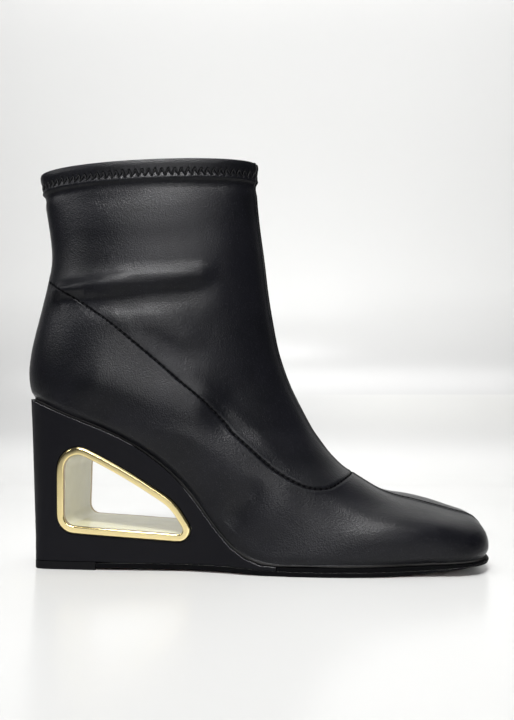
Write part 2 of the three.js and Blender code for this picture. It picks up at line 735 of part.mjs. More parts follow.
function makeRim(wallAt, side) {
  const out = sides[side];
  const at = (inset, proud) => ({
    inset: seatGap + inset,
    yAt: (point) => wallAt(point, side) + out * proud,
  });
  return windowRing([
    at(0, -rimDepth),
    at(0, rimProud - rimBevel),
    at(rimBevel, rimProud),
    at(rimWidth - rimBevel / 2, rimProud),
    at(rimWidth, rimProud - rimBevel / 2),
    at(rimWidth, -rimDepth),
  ]);
}

function makeSleeve(wallAt) {
  const depth = rimDepth + seatGap;
  const edge = (inset, side) => ({
    inset: seatGap + inset,
    yAt: (point) => wallAt(point, side) - sides[side] * depth,
  });
  return windowRing([
    edge(0, "lateral"), edge(0, "medial"), edge(rimWidth, "medial"), edge(rimWidth, "lateral"),
  ]);
}

// A straight prism over the window's hole, longer than the wedge is wide
function windowCutter() {
  const shape = new THREE.Shape(windowOutline(0));
  const prism = new THREE.ExtrudeGeometry(shape, { depth: 2 * ballWidth, bevelEnabled: false });
  prism.rotateX(Math.PI / 2).translate(0, ballWidth, 0);
  return prism;
}

function solidFrom(geometry, wasm) {
  const bare = geometry.clone();
  bare.deleteAttribute("normal");
  bare.deleteAttribute("uv");
  const merged = mergeVertices(bare, joinDistance);
  return new wasm.Manifold(new wasm.Mesh({
    numProp: 3,
    vertProperties: merged.attributes.position.array,
    triVerts: new Uint32Array(merged.index.array),
  }));
}

function cutBy(geometry, cutter, wasm) {
  const left = solidFrom(geometry, wasm).subtract(solidFrom(cutter, wasm)).getMesh();
  const result = new THREE.BufferGeometry();
  result.setAttribute("position", new THREE.Float32BufferAttribute(left.vertProperties, 3));
  result.setIndex([...left.triVerts]);
  result.computeVertexNormals();
  return result;
}

function piece(name, geometry, color, roughness, metalness) {
  const material = new THREE.MeshStandardMaterial({ color, roughness, metalness });
  const mesh = new THREE.Mesh(geometry, material);
  mesh.name = name;
  return mesh;
}

const wasm = await Module();
wasm.setup();

const { rows, heelAt } = upperRows();
const steps = featherSteps(rows, heelAt);
const pairs = featherPairs(rows, steps);
const block = wedgeBlock(steps, pairs);
const wallAt = wallReader(block);

const boot = new THREE.Group();
boot.add(
  piece("upper", makeUpper(rows, steps), 0x1d1c20, 0.5, 0),
  piece("insole", makeInsole(pairs), 0x2a2724, 0.8, 0),
  piece("heel_wedge", cutBy(block, windowCutter(), wasm), 0x141317, 0.75, 0),
  piece("window_sleeve", makeSleeve(wallAt), 0xd6cda8, 0.3, 0),
  piece("window_rim_lateral", makeRim(wallAt, "lateral"), 0xe6cf8a, 0.15, 1),
  piece("window_rim_medial", makeRim(wallAt, "medial"), 0xe6cf8a, 0.15, 1),
  piece("midsole", makeMidsole(pairs), 0x17161a, 0.7, 0),
  piece("outsole", makeOutsole(pairs), 0x3a2420, 0.8, 0),
  piece("top_lift", makeTopLift(), 0x121114, 0.8, 0),
);

// The origin goes to the middle of the boot's box, on the floor
const box = new THREE.Box3().setFromObject(boot);
const middle = box.getCenter(new THREE.Vector3());
boot.position.set(-middle.x, -middle.y, -box.min.z);

const model = new THREE.Group();
model.add(boot);

export default model;
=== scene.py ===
import math

import bmesh
import bpy
import numpy as np
from mathutils import Matrix, Vector, noise
from mathutils.bvhtree import BVHTree


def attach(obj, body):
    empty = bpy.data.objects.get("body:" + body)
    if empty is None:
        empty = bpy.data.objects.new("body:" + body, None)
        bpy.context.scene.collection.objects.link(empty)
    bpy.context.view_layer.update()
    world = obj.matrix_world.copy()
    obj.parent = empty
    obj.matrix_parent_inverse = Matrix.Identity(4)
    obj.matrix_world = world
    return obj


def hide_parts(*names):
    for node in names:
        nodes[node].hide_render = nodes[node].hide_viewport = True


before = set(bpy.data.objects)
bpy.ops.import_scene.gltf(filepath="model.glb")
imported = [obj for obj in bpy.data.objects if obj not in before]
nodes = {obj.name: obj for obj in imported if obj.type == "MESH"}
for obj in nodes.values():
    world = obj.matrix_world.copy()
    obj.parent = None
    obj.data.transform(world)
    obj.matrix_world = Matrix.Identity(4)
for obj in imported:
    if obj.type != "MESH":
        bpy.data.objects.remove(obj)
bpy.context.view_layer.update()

# X runs to the toe, -Y is the outer side, Z is up. The boot's dictionaries are in millimetres.
mm = 0.001
scene = bpy.context.scene
print("frame loaded:", len(nodes), "nodes")


class Wire:
    # one socket of a finish; arithmetic on it adds Math nodes
    def __init__(self, finish, socket):
        self.finish = finish
        self.socket = socket

    def maths(self, operation, *others):
        return self.finish.maths(operation, self, *others)

    def __add__(self, other):
        return self.finish.maths("ADD", self, other)

    def __radd__(self, other):
        return self.finish.maths("ADD", other, self)

    def __sub__(self, other):
        return self.finish.maths("SUBTRACT", self, other)

    def __rsub__(self, other):
        return self.finish.maths("SUBTRACT", other, self)

    def __mul__(self, other):
        return self.finish.maths("MULTIPLY", self, other)

    def __rmul__(self, other):
        return self.finish.maths("MULTIPLY", other, self)

    def __truediv__(self, other):
        return self.finish.maths("DIVIDE", self, other)

    def __abs__(self):
        return self.finish.maths("ABSOLUTE", self)

    # 0 below low, 1 above high, smooth between
    def step(self, low, high):
        settings = {"interpolation_type": "SMOOTHSTEP"}
        ends = {"Value": self, "From Min": low, "From Max": high}
        return self.finish.node("MapRange", settings, ends)


class Finish:
    # a material, built node by node
    def __init__(self, name, **fixed):
        self.material = bpy.data.materials.new(name)
        self.material.use_nodes = True
        self.tree = self.material.node_tree
        self.shader = self.tree.nodes["Principled BSDF"]
        self.place = self.node("TexCoord", output="Object")
        self.feed(self.shader, fixed)

    def feed(self, node, values):
        for key, value in values.items():
            socket = node.inputs[key]
            if isinstance(value, Wire):
                self.tree.links.new(value.socket, socket)
            else:
                socket.default_value = value

    def node(self, kind, settings=None, values=None, output=0):
        made = self.tree.nodes.new("ShaderNode" + kind)
        for key, value in (settings or {}).items():
            setattr(made, key, value)
        self.feed(made, values or {})
        return Wire(self, made.outputs[output])

    def maths(self, operation, *values):
        return self.node("Math", {"operation": operation}, dict(enumerate(values)))

    # noise between 0 and 1, with features of about this many millimetres
    def cloud(self, size, detail=2.0, rough=0.5):
        values = {"Vector": self.place, "Scale": 1 / (size * mm), "Detail": detail}
        return self.node("TexNoise", None, values | {"Roughness": rough})

    def cells(self, size):
        values = {"Vector": self.place, "Scale": 1 / (size * mm)}
        return self.node("TexVoronoi", {"feature": "F1"}, values, "Distance")

    def mix(self, share, low, high):
        return self.node("Mix", {"data_type": "RGBA"}, {0: share, 6: low, 7: high}, 2)

    def split(self, vector):
        return [self.node("SeparateXYZ", None, {"Vector": vector}, axis) for axis in "XYZ"]

    # a dull black laid over the finish: painted shade
    def cover(self, amount, colour):
        over = self.node("BsdfDiffuse", None, {"Color": colour})
        layers = {0: amount, 1: Wire(self, self.shader.outputs[0]), 2: over}
        output = self.tree.nodes["Material Output"]
        self.feed(output, {"Surface": self.node("MixShader", None, layers)})

    def value(self, name):
        return self.node("Attribute", {"attribute_name": name}, output="Fac")

    # height in millimetres
    def relief(self, height):
        return self.node("Bump", None, {"Height": height, "Distance": mm}, "Normal")

    def wear(self, **varying):
        self.feed(self.shader, {key.replace("_", " "): value for key, value in varying.items()})
        return self.material


# a smooth line through the points, with a point about every spacing
def smoothPath(points, spacing=0.5):
    given = np.array(points, float)
    padded = np.vstack([2 * given[0] - given[1], given, 2 * given[-1] - given[-2]])
    made = []
    for at in range(len(given) - 1):
        a, b, c, d = padded[at:at + 4]
        count = max(2, int(np.linalg.norm(c - b) / spacing))
        for share in np.linspace(0, 1, count, endpoint=False):
            bent = (c - a) * share + (2 * a - 5 * b + 4 * c - d) * share ** 2
            made.append(b + 0.5 * (bent + (3 * b - a - 3 * c + d) * share ** 3))
    made.append(given[-1])
    return np.array(made)


def runLength(path):
    steps = np.linalg.norm(np.diff(path, axis=0), axis=1)
    return np.concatenate([[0], np.cumsum(steps)])


# distance from each place to the nearest point of a path, and that point's number; places
# farther off than reach count as far away
def nearest(places, path, reach):
    gaps = np.full(len(places), 1000.0)
    which = np.zeros(len(places), int)
    low, high = path.min(axis=0) - reach, path.max(axis=0) + reach
    close = np.flatnonzero(np.all((places > low) & (places < high), axis=1))
    for start in range(0, len(close), 4000):
        part = close[start:start + 4000]
        apart = ((places[part][:, None, :] - path[None, :, :]) ** 2).sum(axis=2)
        which[part] = apart.argmin(axis=1)
        gaps[part] = np.sqrt(apart.min(axis=1))
    return gaps, which


def ease(value):
    share = np.clip(value, 0, 1)
    return share * share * (3 - 2 * share)


def takeCopy(name):
    mesh = bmesh.new()
    mesh.from_mesh(nodes[name].data)
    bmesh.ops.remove_doubles(mesh, verts=mesh.verts, dist=0.002 * mm)
    return mesh


def joinQuads(mesh):
    bmesh.ops.join_triangles(mesh, faces=mesh.faces, angle_face_threshold=math.pi,
                             angle_shape_threshold=math.pi)


def sharpEdges(mesh, degrees):
    limit = math.radians(degrees)
    return [edge for edge in mesh.edges if edge.is_manifold and edge.calc_face_angle(0) > limit]


def bevel(mesh, edges, width, segments):
    bmesh.ops.bevel(mesh, geom=edges, offset=width * mm, affect="EDGES", segments=segments,
                    profile=0.5, material=-1, clamp_overlap=True)


def addPiece(name, mesh, materials, replaced=()):
    data = bpy.data.meshes.new(name)
    for face in mesh.faces:
        face.smooth = True
    mesh.to_mesh(data)
    mesh.free()
    made = bpy.data.objects.new(name, data)
    scene.collection.objects.link(made)
    for material in materials:
        data.materials.append(material)
    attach(made, "root")
    if replaced:
        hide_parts(*replaced)
    return made


def subdivide(made, levels):
    modifier = made.modifiers.new("smooth", "SUBSURF")
    modifier.levels = levels
    modifier.render_levels = levels
    modifier.boundary_smooth = "PRESERVE_CORNERS"


def weighNormals(made):
    made.data.set_sharp_from_angle(angle=math.radians(35))
    modifier = made.modifiers.new("normals", "WEIGHTED_NORMAL")
    modifier.keep_sharp = True


# the mesh of an object with its modifiers applied
def settle(made):
    bpy.context.view_layer.update()
    evaluated = made.evaluated_get(bpy.context.evaluated_depsgraph_get())
    data = bpy.data.meshes.new_from_object(evaluated)
    made.modifiers.clear()
    made.data = data


leather = {
    "specular": 0.22,
    "base": (0.0048, 0.0049, 0.0070, 1),
    "deep": (0.0028, 0.0030, 0.0042, 1),
    "patches": (28, 2),
    "patchSpan": (0.3, 0.72),
    # painted glints: lighter flecks that stand in for the sparkle of the grain's highlights
    "paintedGlint": (0.024, 0.024, 0.029, 1),
    "glintSize": 0.8,  # as a share of the grain
    "glintSpan": (0.56, 0.76),
    "grain": 0.75,
    "grainHeight": 0.095,
    "roughness": 0.26,
    "roughPatches": (9, 3),
    "roughSpread": 0.12,
    # painted shade: the black laid into the seam grooves, the stitch holes, the hem's zigzag groove
    # and the recess along the upper's foot
    "paintedShadeBlack": (0.002, 0.002, 0.0025, 1),
    "seamShade": 0.92,
    "groove": (0.161, 0.736),  # from the seam's line to the groove's edge
    "grooveDepth": 0.3,
    "centreShare": 0.55,
    "stitchPitch": 2.8,
    "holeSpan": (0.08, 0.24),  # share of the pitch
    "holeReach": (0.3, 0.95),
    "holeDepth": 0.25,
    "zigzagCount": 78,
    "zigzagMiddle": 7.2,
    "zigzagHalf": 1.85,
    "zigzagEdge": 0.7,
    "zigzagLean": 0.38,
    "zigzagSpan": (0.12, 0.62),
    "zigzagDepth": 0.5,
    "zigzagShade": 0.8,
    "footSpan": (0.3, 1.5),
    "footShade": 0.9,
}


def grain(finish, size, height):
    pebbles = finish.cells(size)
    fine = finish.cloud(size * 0.45, 3)
    wrinkles = finish.cloud(size * 3.5, 2)
    return height * (pebbles + fine * 0.9 + wrinkles * 0.12)


# 1 on the hem's zigzag line, 0 away from it
def zigzag(finish):
    middle, half = leather["zigzagMiddle"], leather["zigzagHalf"]
    drop = finish.value("hemDrop")
    turn = finish.value("hemSine").maths("ARCTAN2", finish.value("hemCosine"))
    wave = abs((turn * (leather["zigzagCount"] / (2 * math.pi))).maths("FRACT") - 0.5) * 4 - 1
    off = abs(drop - middle - wave * half)
    inBand = 1 - abs(drop - middle).step(half, half + leather["zigzagEdge"])
    return (1 - (off * leather["zigzagLean"]).step(*leather["zigzagSpan"])) * inBand


def makeLeather():
    finish = Finish("blackStretchLeather", **{"Specular IOR Level": leather["specular"]})
    centre = abs(finish.value("centreGap")) * leather["centreShare"]
    gap = abs(finish.value("sideGap")).maths("MINIMUM", centre)
    groove = 1 - gap.step(*leather["groove"])
    beat = abs((finish.value("seamRun") / leather["stitchPitch"]).maths("FRACT") - 0.5)
    holes = (1 - beat.step(*leather["holeSpan"])) * (1 - gap.step(*leather["holeReach"]))
    sunk = zigzag(finish)
    foot = 1 - finish.value("footGap").step(*leather["footSpan"])
    # painted shade: the seam grooves, the stitch holes, the hem's zigzag groove and the recess
    # along the foot of the upper are darkened with a dull black layer
    dark = (groove * leather["seamShade"]).maths("MAXIMUM", holes)
    dark = dark.maths("MAXIMUM", sunk * leather["zigzagShade"])
    dark = dark.maths("MAXIMUM", foot * leather["footShade"])
    finish.cover(dark, leather["paintedShadeBlack"])
    patches = finish.cloud(*leather["patches"]).step(*leather["patchSpan"])
    colour = finish.mix(patches, leather["deep"], leather["base"])
    # painted glints: lighter flecks in the colour stand in for the grain's sparkle
    glintSpots = finish.cloud(leather["grain"] * leather["glintSize"], 2, 0.7)
    colour = finish.mix(glintSpots.step(*leather["glintSpan"]), colour, leather["paintedGlint"])
    height = grain(finish, leather["grain"], leather["grainHeight"])
    height = height - groove * leather["grooveDepth"] - holes * leather["holeDepth"]
    height = height - sunk * leather["zigzagDepth"]
    rough = leather["roughness"] + finish.cloud(*leather["roughPatches"]) * leather["roughSpread"]
    return finish.wear(Base_Color=colour, Roughness=rough, Normal=finish.relief(height))


# The other finishes: patches of a dark and a pale colour, given by size and detail, which also
# change the roughness unless it has its own, and a relief of cells, clouds or leather grain.
liningLook = {
    "specular": 0.3, "patches": (6, 3),
    "dark": (0.011, 0.0105, 0.0105, 1), "pale": (0.024, 0.023, 0.023, 1),
    "rough": 0.75, "roughSpread": 0.15, "roughPatches": (4, 2),
    "cells": (0.7, 0.12), "cloud": (2.2, 3, 0.06),
}
coverLook = {
    "specular": 0.13, "patches": (20, 3),
    "dark": (0.0022, 0.0022, 0.0036, 1), "pale": (0.0036, 0.0036, 0.0055, 1),
    "rough": 0.5, "roughSpread": 0.14, "roughPatches": (6, 2),
    "grain": (0.6, 0.022), "cloud": (14, 1, 0.12),
}
# painted highlight: a light grey for the wedge's upward-facing edge bevels
wedgeEdgeHighlightLook = {
    "specular": 0.6, "patches": (6, 4),
    "dark": (0.150, 0.150, 0.155, 1), "pale": (0.300, 0.300, 0.305, 1),
    "rough": 0.26, "roughSpread": 0.12,
    "grain": (0.6, 0.02),
}
goldLook = {
    "metallic": 1.0, "patches": (7, 3),
    "dark": (0.93, 0.755, 0.36, 1), "pale": (0.97, 0.82, 0.44, 1),
    "rough": 0.09, "roughSpread": 0.08,
    "cloud": (9, 1, 0.02),
}
# painted shade: a darker gold for the rim's side faces
goldPaintedShadeLook = {
    "metallic": 1.0, "patches": (5, 3),
    "dark": (0.12, 0.07, 0.02, 1), "pale": (0.46, 0.33, 0.12, 1),
    "rough": 0.12, "roughSpread": 0.1,
    "cloud": (9, 1, 0.02),
}
ivoryLook = {
    "specular": 0.6, "patches": (16, 3),
    "dark": (0.65, 0.62, 0.41, 1), "pale": (0.77, 0.74, 0.52, 1),
    "rough": 0.16, "roughSpread": 0.12,
    "cloud": (9, 2, 0.05),
}
blackEdgeLook = {
    "specular": 0.03, "patches": (3, 4),
    "dark": (0.0015, 0.0015, 0.002, 1), "pale": (0.004, 0.004, 0.0045, 1),
    "rough": 0.4, "roughSpread": 0.16,
    "cloud": (0.7, 3, 0.03),
}
# painted highlight: a light grey for the outsole's upward-facing top bevel
outsoleHighlightLook = {
    "specular": 0.7, "patches": (3, 4),
    "dark": (0.26, 0.26, 0.25, 1), "pale": (0.50, 0.50, 0.48, 1),
    "rough": 0.22, "roughSpread": 0.1,
    "cloud": (0.7, 3, 0.02),
}
treadLook = {
    "specular": 0.35, "patches": (11, 4),
    "dark": (0.085, 0.030, 0.026, 1), "pale": (0.130, 0.052, 0.044, 1),
    "rough": 0.5, "roughSpread": 0.2,
    "cells": (0.9, 0.08), "cloud": (5, 3, 0.05),
}
heelTipLook = {
    "specular": 0.1, "patches": (2.4, 4),
    "dark": (0.002, 0.002, 0.0025, 1), "pale": (0.005, 0.005, 0.006, 1),
    "rough": 0.55, "roughSpread": 0.2,
    "cells": (0.8, 0.04), "cloud": (2.4, 4, 0.05),
}
threadLook = {
    "specular": 0.25, "patches": (0.35, 2),
    "dark": (0.002, 0.002, 0.0025, 1), "pale": (0.006, 0.006, 0.007, 1),
    "rough": 0.5, "roughSpread": 0.2,
    "cloud": (0.35, 2, 0.06),
}


def makeFinish(name, look):
    fixed = {"Metallic": look.get("metallic", 0.0), "Specular IOR Level": look.get("specular", 0.5)}
    finish = Finish(name, **fixed)
    patches = finish.cloud(*look["patches"])
    roughPatches = finish.cloud(*look["roughPatches"]) if "roughPatches" in look else patches
    heights = []
    if "grain" in look:
        heights.append(grain(finish, *look["grain"]))
    if "cells" in look:
        size, rise = look["cells"]
        heights.append(finish.cells(size) * rise)
    if "cloud" in look:
        size, detail, rise = look["cloud"]
        heights.append(finish.cloud(size, detail) * rise)
    return finish.wear(Base_Color=finish.mix(patches, look["dark"], look["pale"]),
                       Roughness=look["rough"] + roughPatches * look["roughSpread"],
                       Normal=finish.relief(sum(heights[1:], heights[0])))


leatherSkin = makeLeather()
lining = makeFinish("darkLining", liningLook)
cover = makeFinish("wedgeCover", coverLook)
wedgeEdgeHighlight = makeFinish("wedgeEdgePaintedHighlight", wedgeEdgeHighlightLook)
gold = makeFinish("paleGold", goldLook)
goldPaintedShade = makeFinish("rimSidePaintedShadeGold", goldPaintedShadeLook)
ivory = makeFinish("ivoryGloss", ivoryLook)
edgeBlack = makeFinish("blackEdge", blackEdgeLook)
edgeLit = makeFinish("outsolePaintedHighlight", outsoleHighlightLook)
treadBrown = makeFinish("brownTread", treadLook)
tipRubber = makeFinish("heelTipRubber", heelTipLook)
thread = makeFinish("blackThread", threadLook)
print("finishes made")


upper = {
    "collarFront": (2.8, 207.0),
    "collarBack": (-113.3, 201.5),
    "collarCentre": -52,
    "collarRound": 0.75,
    "collarNear": 1,
    "collarCuts": [(1.6, 1.6), (5, 5), (8.4, 9.3), (11.6, 12.8), (14, 15.4)],  # front, back
    "castFrom": 120,  # rays to the hem start this far out
    "hemFold": 10.5,
    "hemSwells": [
        {"at": 2.6, "width": 1.6, "height": 0.25},
        {"at": 7.2, "width": 1.7, "height": -0.3},
        {"at": 10.0, "width": 1.4, "height": 0.4},
        {"at": 13.6, "width": 2.4, "height": -0.6},
    ],
    "hemStep": (8.0, 12.8),
    "hemSmooth": 14,
    "sharp": 48,
    "creaseBelow": 150,
    "levels": 2,
    "seamNear": 2.6,
    "seamWidth": 0.6,
    "seamDepth": 0.36,
    "shoulders": (0.1, 0.1, 0.42, 0.2),  # outer side, inner side, front, back
    "shoulderOut": 1.6,
    "shoulderWidth": 0.8,
    "lap": 0.24,
    "lapWidth": 4.0,
    "lapFade": 12,
    "rollHeight": 4.5,
    "rollDepth": 1.0,
    "footBelow": 20,  # the foot's edge lies at least this far under the collar
    "footFar": 20.0,
    "unevenSize": 26,
    "uneven": 0.38,
    "unevenFade": 8,
    "sideFade": 7,
    "farGap": 8.0,
    "farOff": 50.0,
}

# the diagonal seam, from the back of the shaft down to the throat: X, Y, Z on the outer side
diagonalSeam = [
    (-107.5, 0.0, 147.3), (-92.3, -15, 136.2), (-71.8, -25, 122.1), (-53.2, -29, 107.8),
    (-34.2, -32, 92.3), (-21.5, -33, 82.5), (-11.9, -34, 74.5), (-3.1, -34, 65.6),
    (5.4, -34, 57.0), (12.6, -33, 50.0), (20.2, -30, 43.6), (27.0, -28, 39.6),
    (33.9, -24, 36.9), (39.3, -19, 36.7), (46.1, -10, 40.1), (51.3, 0, 45.6),
]
frontSeam = [
    (2.8, -2, 207), (2.9, -2, 188), (3.9, -2, 177), (5.9, -2, 162), (7.8, -2, 147), (9.6, -2, 131),
    (13.1, -2, 111), (17.4, -2, 98), (20.0, -2, 90.8), (31.8, -1.6, 67), (38.8, -1, 57),
    (46.8, -0.4, 48.5), (55.9, 0, 42.8), (64.8, 0, 37.5), (73, 0, 34.1), (81, 0, 32.2),
    (88.9, 0, 30.1), (96.9, 0, 28.1), (103.9, 0, 26.1), (109.3, 0, 24.8), (113.6, 0, 22.1),
    (116.2, 0, 17.4), (117, 0, 12),
]
backSeam = [
    (-113.3, 0, 201.5), (-109.8, 0, 181), (-107.1, 0, 168), (-105.9, 0, 156), (-107.6, 0, 144),
    (-110.7, 0, 130), (-115.1, 0, 112), (-117, 0, 98), (-116.2, 0, 90.5), (-114, 0, 84.5),
]

# soft folds, as X and Z lines on the side: height out of the surface, and the width of the
# slope above and below the line
folds = [
    {"path": [(-104, 135.8), (-90.7, 137.0), (-79, 137.5), (-66, 139.3), (-54.8, 141.2),
              (-41.6, 142.3), (-28.4, 143.6), (-14, 146.4)],
     "side": -1, "height": 2.3, "above": 4.3, "below": 2.8, "fade": 12},
    {"path": [(-104, 135.6), (-96, 136.2), (-88, 136.8), (-78, 137.6), (-66, 139.5), (-56, 141.2)],
     "side": -1, "height": 1.6, "above": 3.8, "below": 2.6, "fade": 9},
    {"path": [(-99, 151), (-86, 150.5), (-70, 151.5), (-52, 153.5), (-38, 155)],
     "side": -1, "height": -0.45, "above": 7, "below": 4.5, "fade": 24},
    {"path": [(-94, 131.4), (-79, 130.2), (-65.8, 130.3), (-54, 131.6), (-41.4, 133.6),
              (-28.3, 136), (-14, 139.6)],
     "side": -1, "height": -2.0, "above": 4.4, "below": 6.0, "fade": 18},
    {"path": [(-66, 125), (-54, 122.5), (-42, 118.5), (-30, 114), (-18, 110)],
     "side": -1, "height": 0.9, "above": 5.5, "below": 4.5, "fade": 16},
    {"path": [(-66, 122), (-54, 115), (-44, 108.5), (-32, 103), (-18, 100)],
     "side": -1, "height": -0.9, "above": 4.0, "below": 5, "fade": 18},
    {"path": [(-82, 135.5), (-68, 126), (-50, 111.5), (-31, 95.5), (-18.5, 85), (-8, 76.5), (1, 68),
              (10, 59), (18, 51.5), (26, 46)],
     "side": -1, "height": 0.65, "above": 3.4, "below": 3.0, "fade": 26},
    {"path": [(-90, 95), (-67, 89.5), (-47.6, 83.5), (-28, 79), (-10, 73.5)],
     "side": -1, "height": 3.1, "above": 14, "below": 12, "fade": 18},
    {"path": [(8, 44), (-1, 36), (-7, 27), (-10, 18)],
     "side": -1, "height": -1.2, "above": 6, "below": 5, "fade": 10},
    {"path": [(26, 38), (16, 33), (9, 25), (6, 15)],
     "side": -1, "height": 0.9, "above": 9, "below": 9, "fade": 12},
    {"path": [(-100, 166), (-80, 163.2), (-54.9, 162.8), (-25, 165), (-8, 168)],
     "side": -1, "height": -0.5, "above": 4, "below": 6, "fade": 26},
    {"path": [(-104, 186), (-76, 185.2), (-50, 187.6), (-25, 190), (-4, 192.5)],
     "side": 0, "height": -0.55, "above": 3.5, "below": 5, "fade": 14},
    {"path": [(36, 37.5), (44, 31.2), (57, 26.8), (70.8, 24.2), (85, 22.4), (96, 21.2), (106, 19)],
     "side": 0, "height": 0.95, "above": 4.0, "below": 4.0, "fade": 20},
    {"path": [(-96, 139), (-80, 137), (-62, 139), (-40, 143), (-18, 148)],
     "side": 1, "height": 1.0, "above": 7, "below": 3.5, "fade": 26},
    {"path": [(-94, 132), (-78, 130), (-60, 132), (-40, 135.5), (-20, 140)],
     "side": 1, "height": -0.9, "above": 4, "below": 6, "fade": 24},
]


def collarHeight(x):
    (frontX, frontZ), (backX, backZ) = upper["collarFront"], upper["collarBack"]
    return backZ + (x - backX) * (frontZ - backZ) / (frontX - backX)


# millimetres from the collar's line down to a place
def collarDrop(place):
    return collarHeight(place.x / mm) - place.z / mm


# cuts all faces along a line across the shaft, this far under the collar at the front and back
def cutBelowCollar(mesh, atFront, atBack):
    (frontX, frontZ), (backX, backZ) = upper["collarFront"], upper["collarBack"]
    slope = Vector((frontX - backX, 0, (frontZ - atFront) - (backZ - atBack))).normalized()
    bmesh.ops.bisect_plane(mesh, geom=[*mesh.verts, *mesh.edges, *mesh.faces], dist=0.001 * mm,
                           plane_co=Vector((frontX, 0, frontZ - atFront)) * mm,
                           plane_no=Vector((-slope.z, 0, slope.x)))


# marks the inner wall: what can't be reached from the outside without crossing a sharp edge
def markInside(mesh):
    barrier = set(sharpEdges(mesh, upper["sharp"]))
    start = min(mesh.faces, key=lambda face: face.calc_center_median().y)
    reached = {start}
    waiting = [start]
    while waiting:
        face = waiting.pop()
        for edge in face.edges:
            if edge in barrier:
                continue
            for other in edge.link_faces:
                if other not in reached:
                    reached.add(other)
                    waiting.append(other)
    for face in mesh.faces:
        face.material_index = 0 if face in reached else 1


def roughUpper():
    mesh = takeCopy("upper")
    joinQuads(mesh)
    markInside(mesh)
    for atFront, atBack in upper["collarCuts"]:
        cutBelowCollar(mesh, atFront, atBack)
    rim = [edge for edge in sharpEdges(mesh, upper["sharp"])
           if all(collarDrop(vert.co) < upper["collarNear"] for vert in edge.verts)]
    bevel(mesh, rim, upper["collarRound"], 2)
    crease = mesh.edges.layers.float.new("crease_edge")
    for edge in sharpEdges(mesh, upper["sharp"]):
        if edge.verts[0].co.z < upper["creaseBelow"] * mm:
            edge[crease] = 1
    return mesh


# which way a path runs at its numbered points
def flowAlong(path, which):
    return np.gradient(path, axis=0)[which]


def foldField(places, fold):
    path = smoothPath(fold["path"], 1.0)
    gap, which = nearest(places, path, 2.5 * max(fold["above"], fold["below"]))
    along = flowAlong(path, which)
    apart = places - path[which]
    above = along[:, 0] * apart[:, 1] - along[:, 1] * apart[:, 0] > 0
    width = np.where(above, fold["above"], fold["below"])
    run = runLength(path)
    fade = ease(run[which] / fold["fade"]) * ease((run[-1] - run[which]) / fold["fade"])
    return fold["height"] * np.exp(-(gap / width) ** 2) * fade


# a seam's line laid on the surface: points in millimetres
def layOn(tree, points):
    laid = []
    for point in smoothPath(points, 0.4):
        place = tree.find_nearest(Vector(point) * mm)[0]
        laid.append(np.array(place) / mm)
    return np.array(laid)


# the leather faces, for finding places on them
def treeOf(data):
    points = [vert.co for vert in data.vertices]
    faces = [face.vertices[:] for face in data.polygons if face.material_index == 0]
    return BVHTree.FromPolygons(points, faces)


# distance from the seams, below zero on one side of them, so that it passes through zero at them
def panelGap(places, out, paths):
    far = upper["farGap"]
    coarse = [path[::5] for path in paths]
    found = [nearest(places, path, 500) for path in coarse]
    second = found[1][0] < found[0][0]
    signed = np.full(len(places), far)
    for number, (fine, path, (_, which)) in enumerate(zip(paths, coarse, found)):
        along = flowAlong(path, which)
        across = np.einsum("ij,ij->i", np.cross(along, out), places - path[which])
        side = np.where(across > 0, 1, -1) * (-1 if number else 1)
        apart = np.minimum(nearest(places, fine, far + 1)[0], far)
        signed = np.where(second == bool(number), side * apart, signed)
    return signed


# makes the faces near the seams finer
def refineNear(mesh, paths):
    points = np.array([vert.co for vert in mesh.verts]) / mm
    near = np.zeros(len(points), bool)
    for path in paths:
        near |= nearest(points, path[::3], 4)[0] < upper["seamNear"]
    mesh.verts.index_update()
    edges = {edge for face in mesh.faces if face.material_index == 0
             and any(near[vert.index] for vert in face.verts) for edge in face.edges}
    bmesh.ops.subdivide_edges(mesh, edges=list(edges), cuts=1, use_grid_fill=True, smooth=0.0)


def setValue(data, name, values):
    layer = data.attributes.new(name, "FLOAT", "POINT")
    layer.data.foreach_set("value", values.astype(np.float32))


# where the hem's stitch line runs: angles round the collar's centre, and the length run there
def hemLine(tree):
    angles = np.linspace(-math.pi, math.pi, 361)
    points = np.array([hemPoint(tree, angle, leather["zigzagMiddle"])[0] for angle in angles])
    return angles, runLength(points)


def hemPoint(tree, angle, drop):
    way = Vector((math.cos(angle), math.sin(angle), 0))
    height = collarHeight(upper["collarCentre"]) - drop
    for _ in range(3):
        start = (Vector((upper["collarCentre"], 0, height)) + way * upper["castFrom"]) * mm
        place, normal, _, _ = tree.ray_cast(start, -way)
        height = collarHeight(place.x / mm) - drop
    return np.array(place) / mm, normal


# finer faces at the seams, and a softer step under the hem
def refineUpper(data, seams):
    mesh = bmesh.new()
    mesh.from_mesh(data)
    refineNear(mesh, seams)
    low, high = upper["hemStep"]
    step = [vert for vert in mesh.verts if low < collarDrop(vert.co) < high]
    for _ in range(upper["hemSmooth"]):
        bmesh.ops.smooth_vert(mesh, verts=step, factor=0.5,
                              use_axis_x=True, use_axis_y=True, use_axis_z=True)
    mesh.to_mesh(data)
    mesh.free()


def readPoints(data):
    count = len(data.vertices)
    places, normals = np.zeros(count * 3), np.zeros(count * 3)
    data.vertices.foreach_get("co", places)
    data.vertices.foreach_get("normal", normals)
    return places.reshape(-1, 3) / mm, normals.reshape(-1, 3)


# folds and unevenness, which move both walls
def bothWalls(places, drop):
    moved = np.zeros(len(places))
    for fold in folds:
        field = foldField(places[:, [0, 2]], fold)
        if fold["side"]:
            field *= ease(fold["side"] * places[:, 1] / upper["sideFade"])
        moved += field
    scale = 1 / upper["unevenSize"]
    bumpy = np.array([noise.noise(Vector(place) * scale) for place in places])
    return moved + bumpy * upper["uneven"] * ease(drop / upper["unevenFade"])


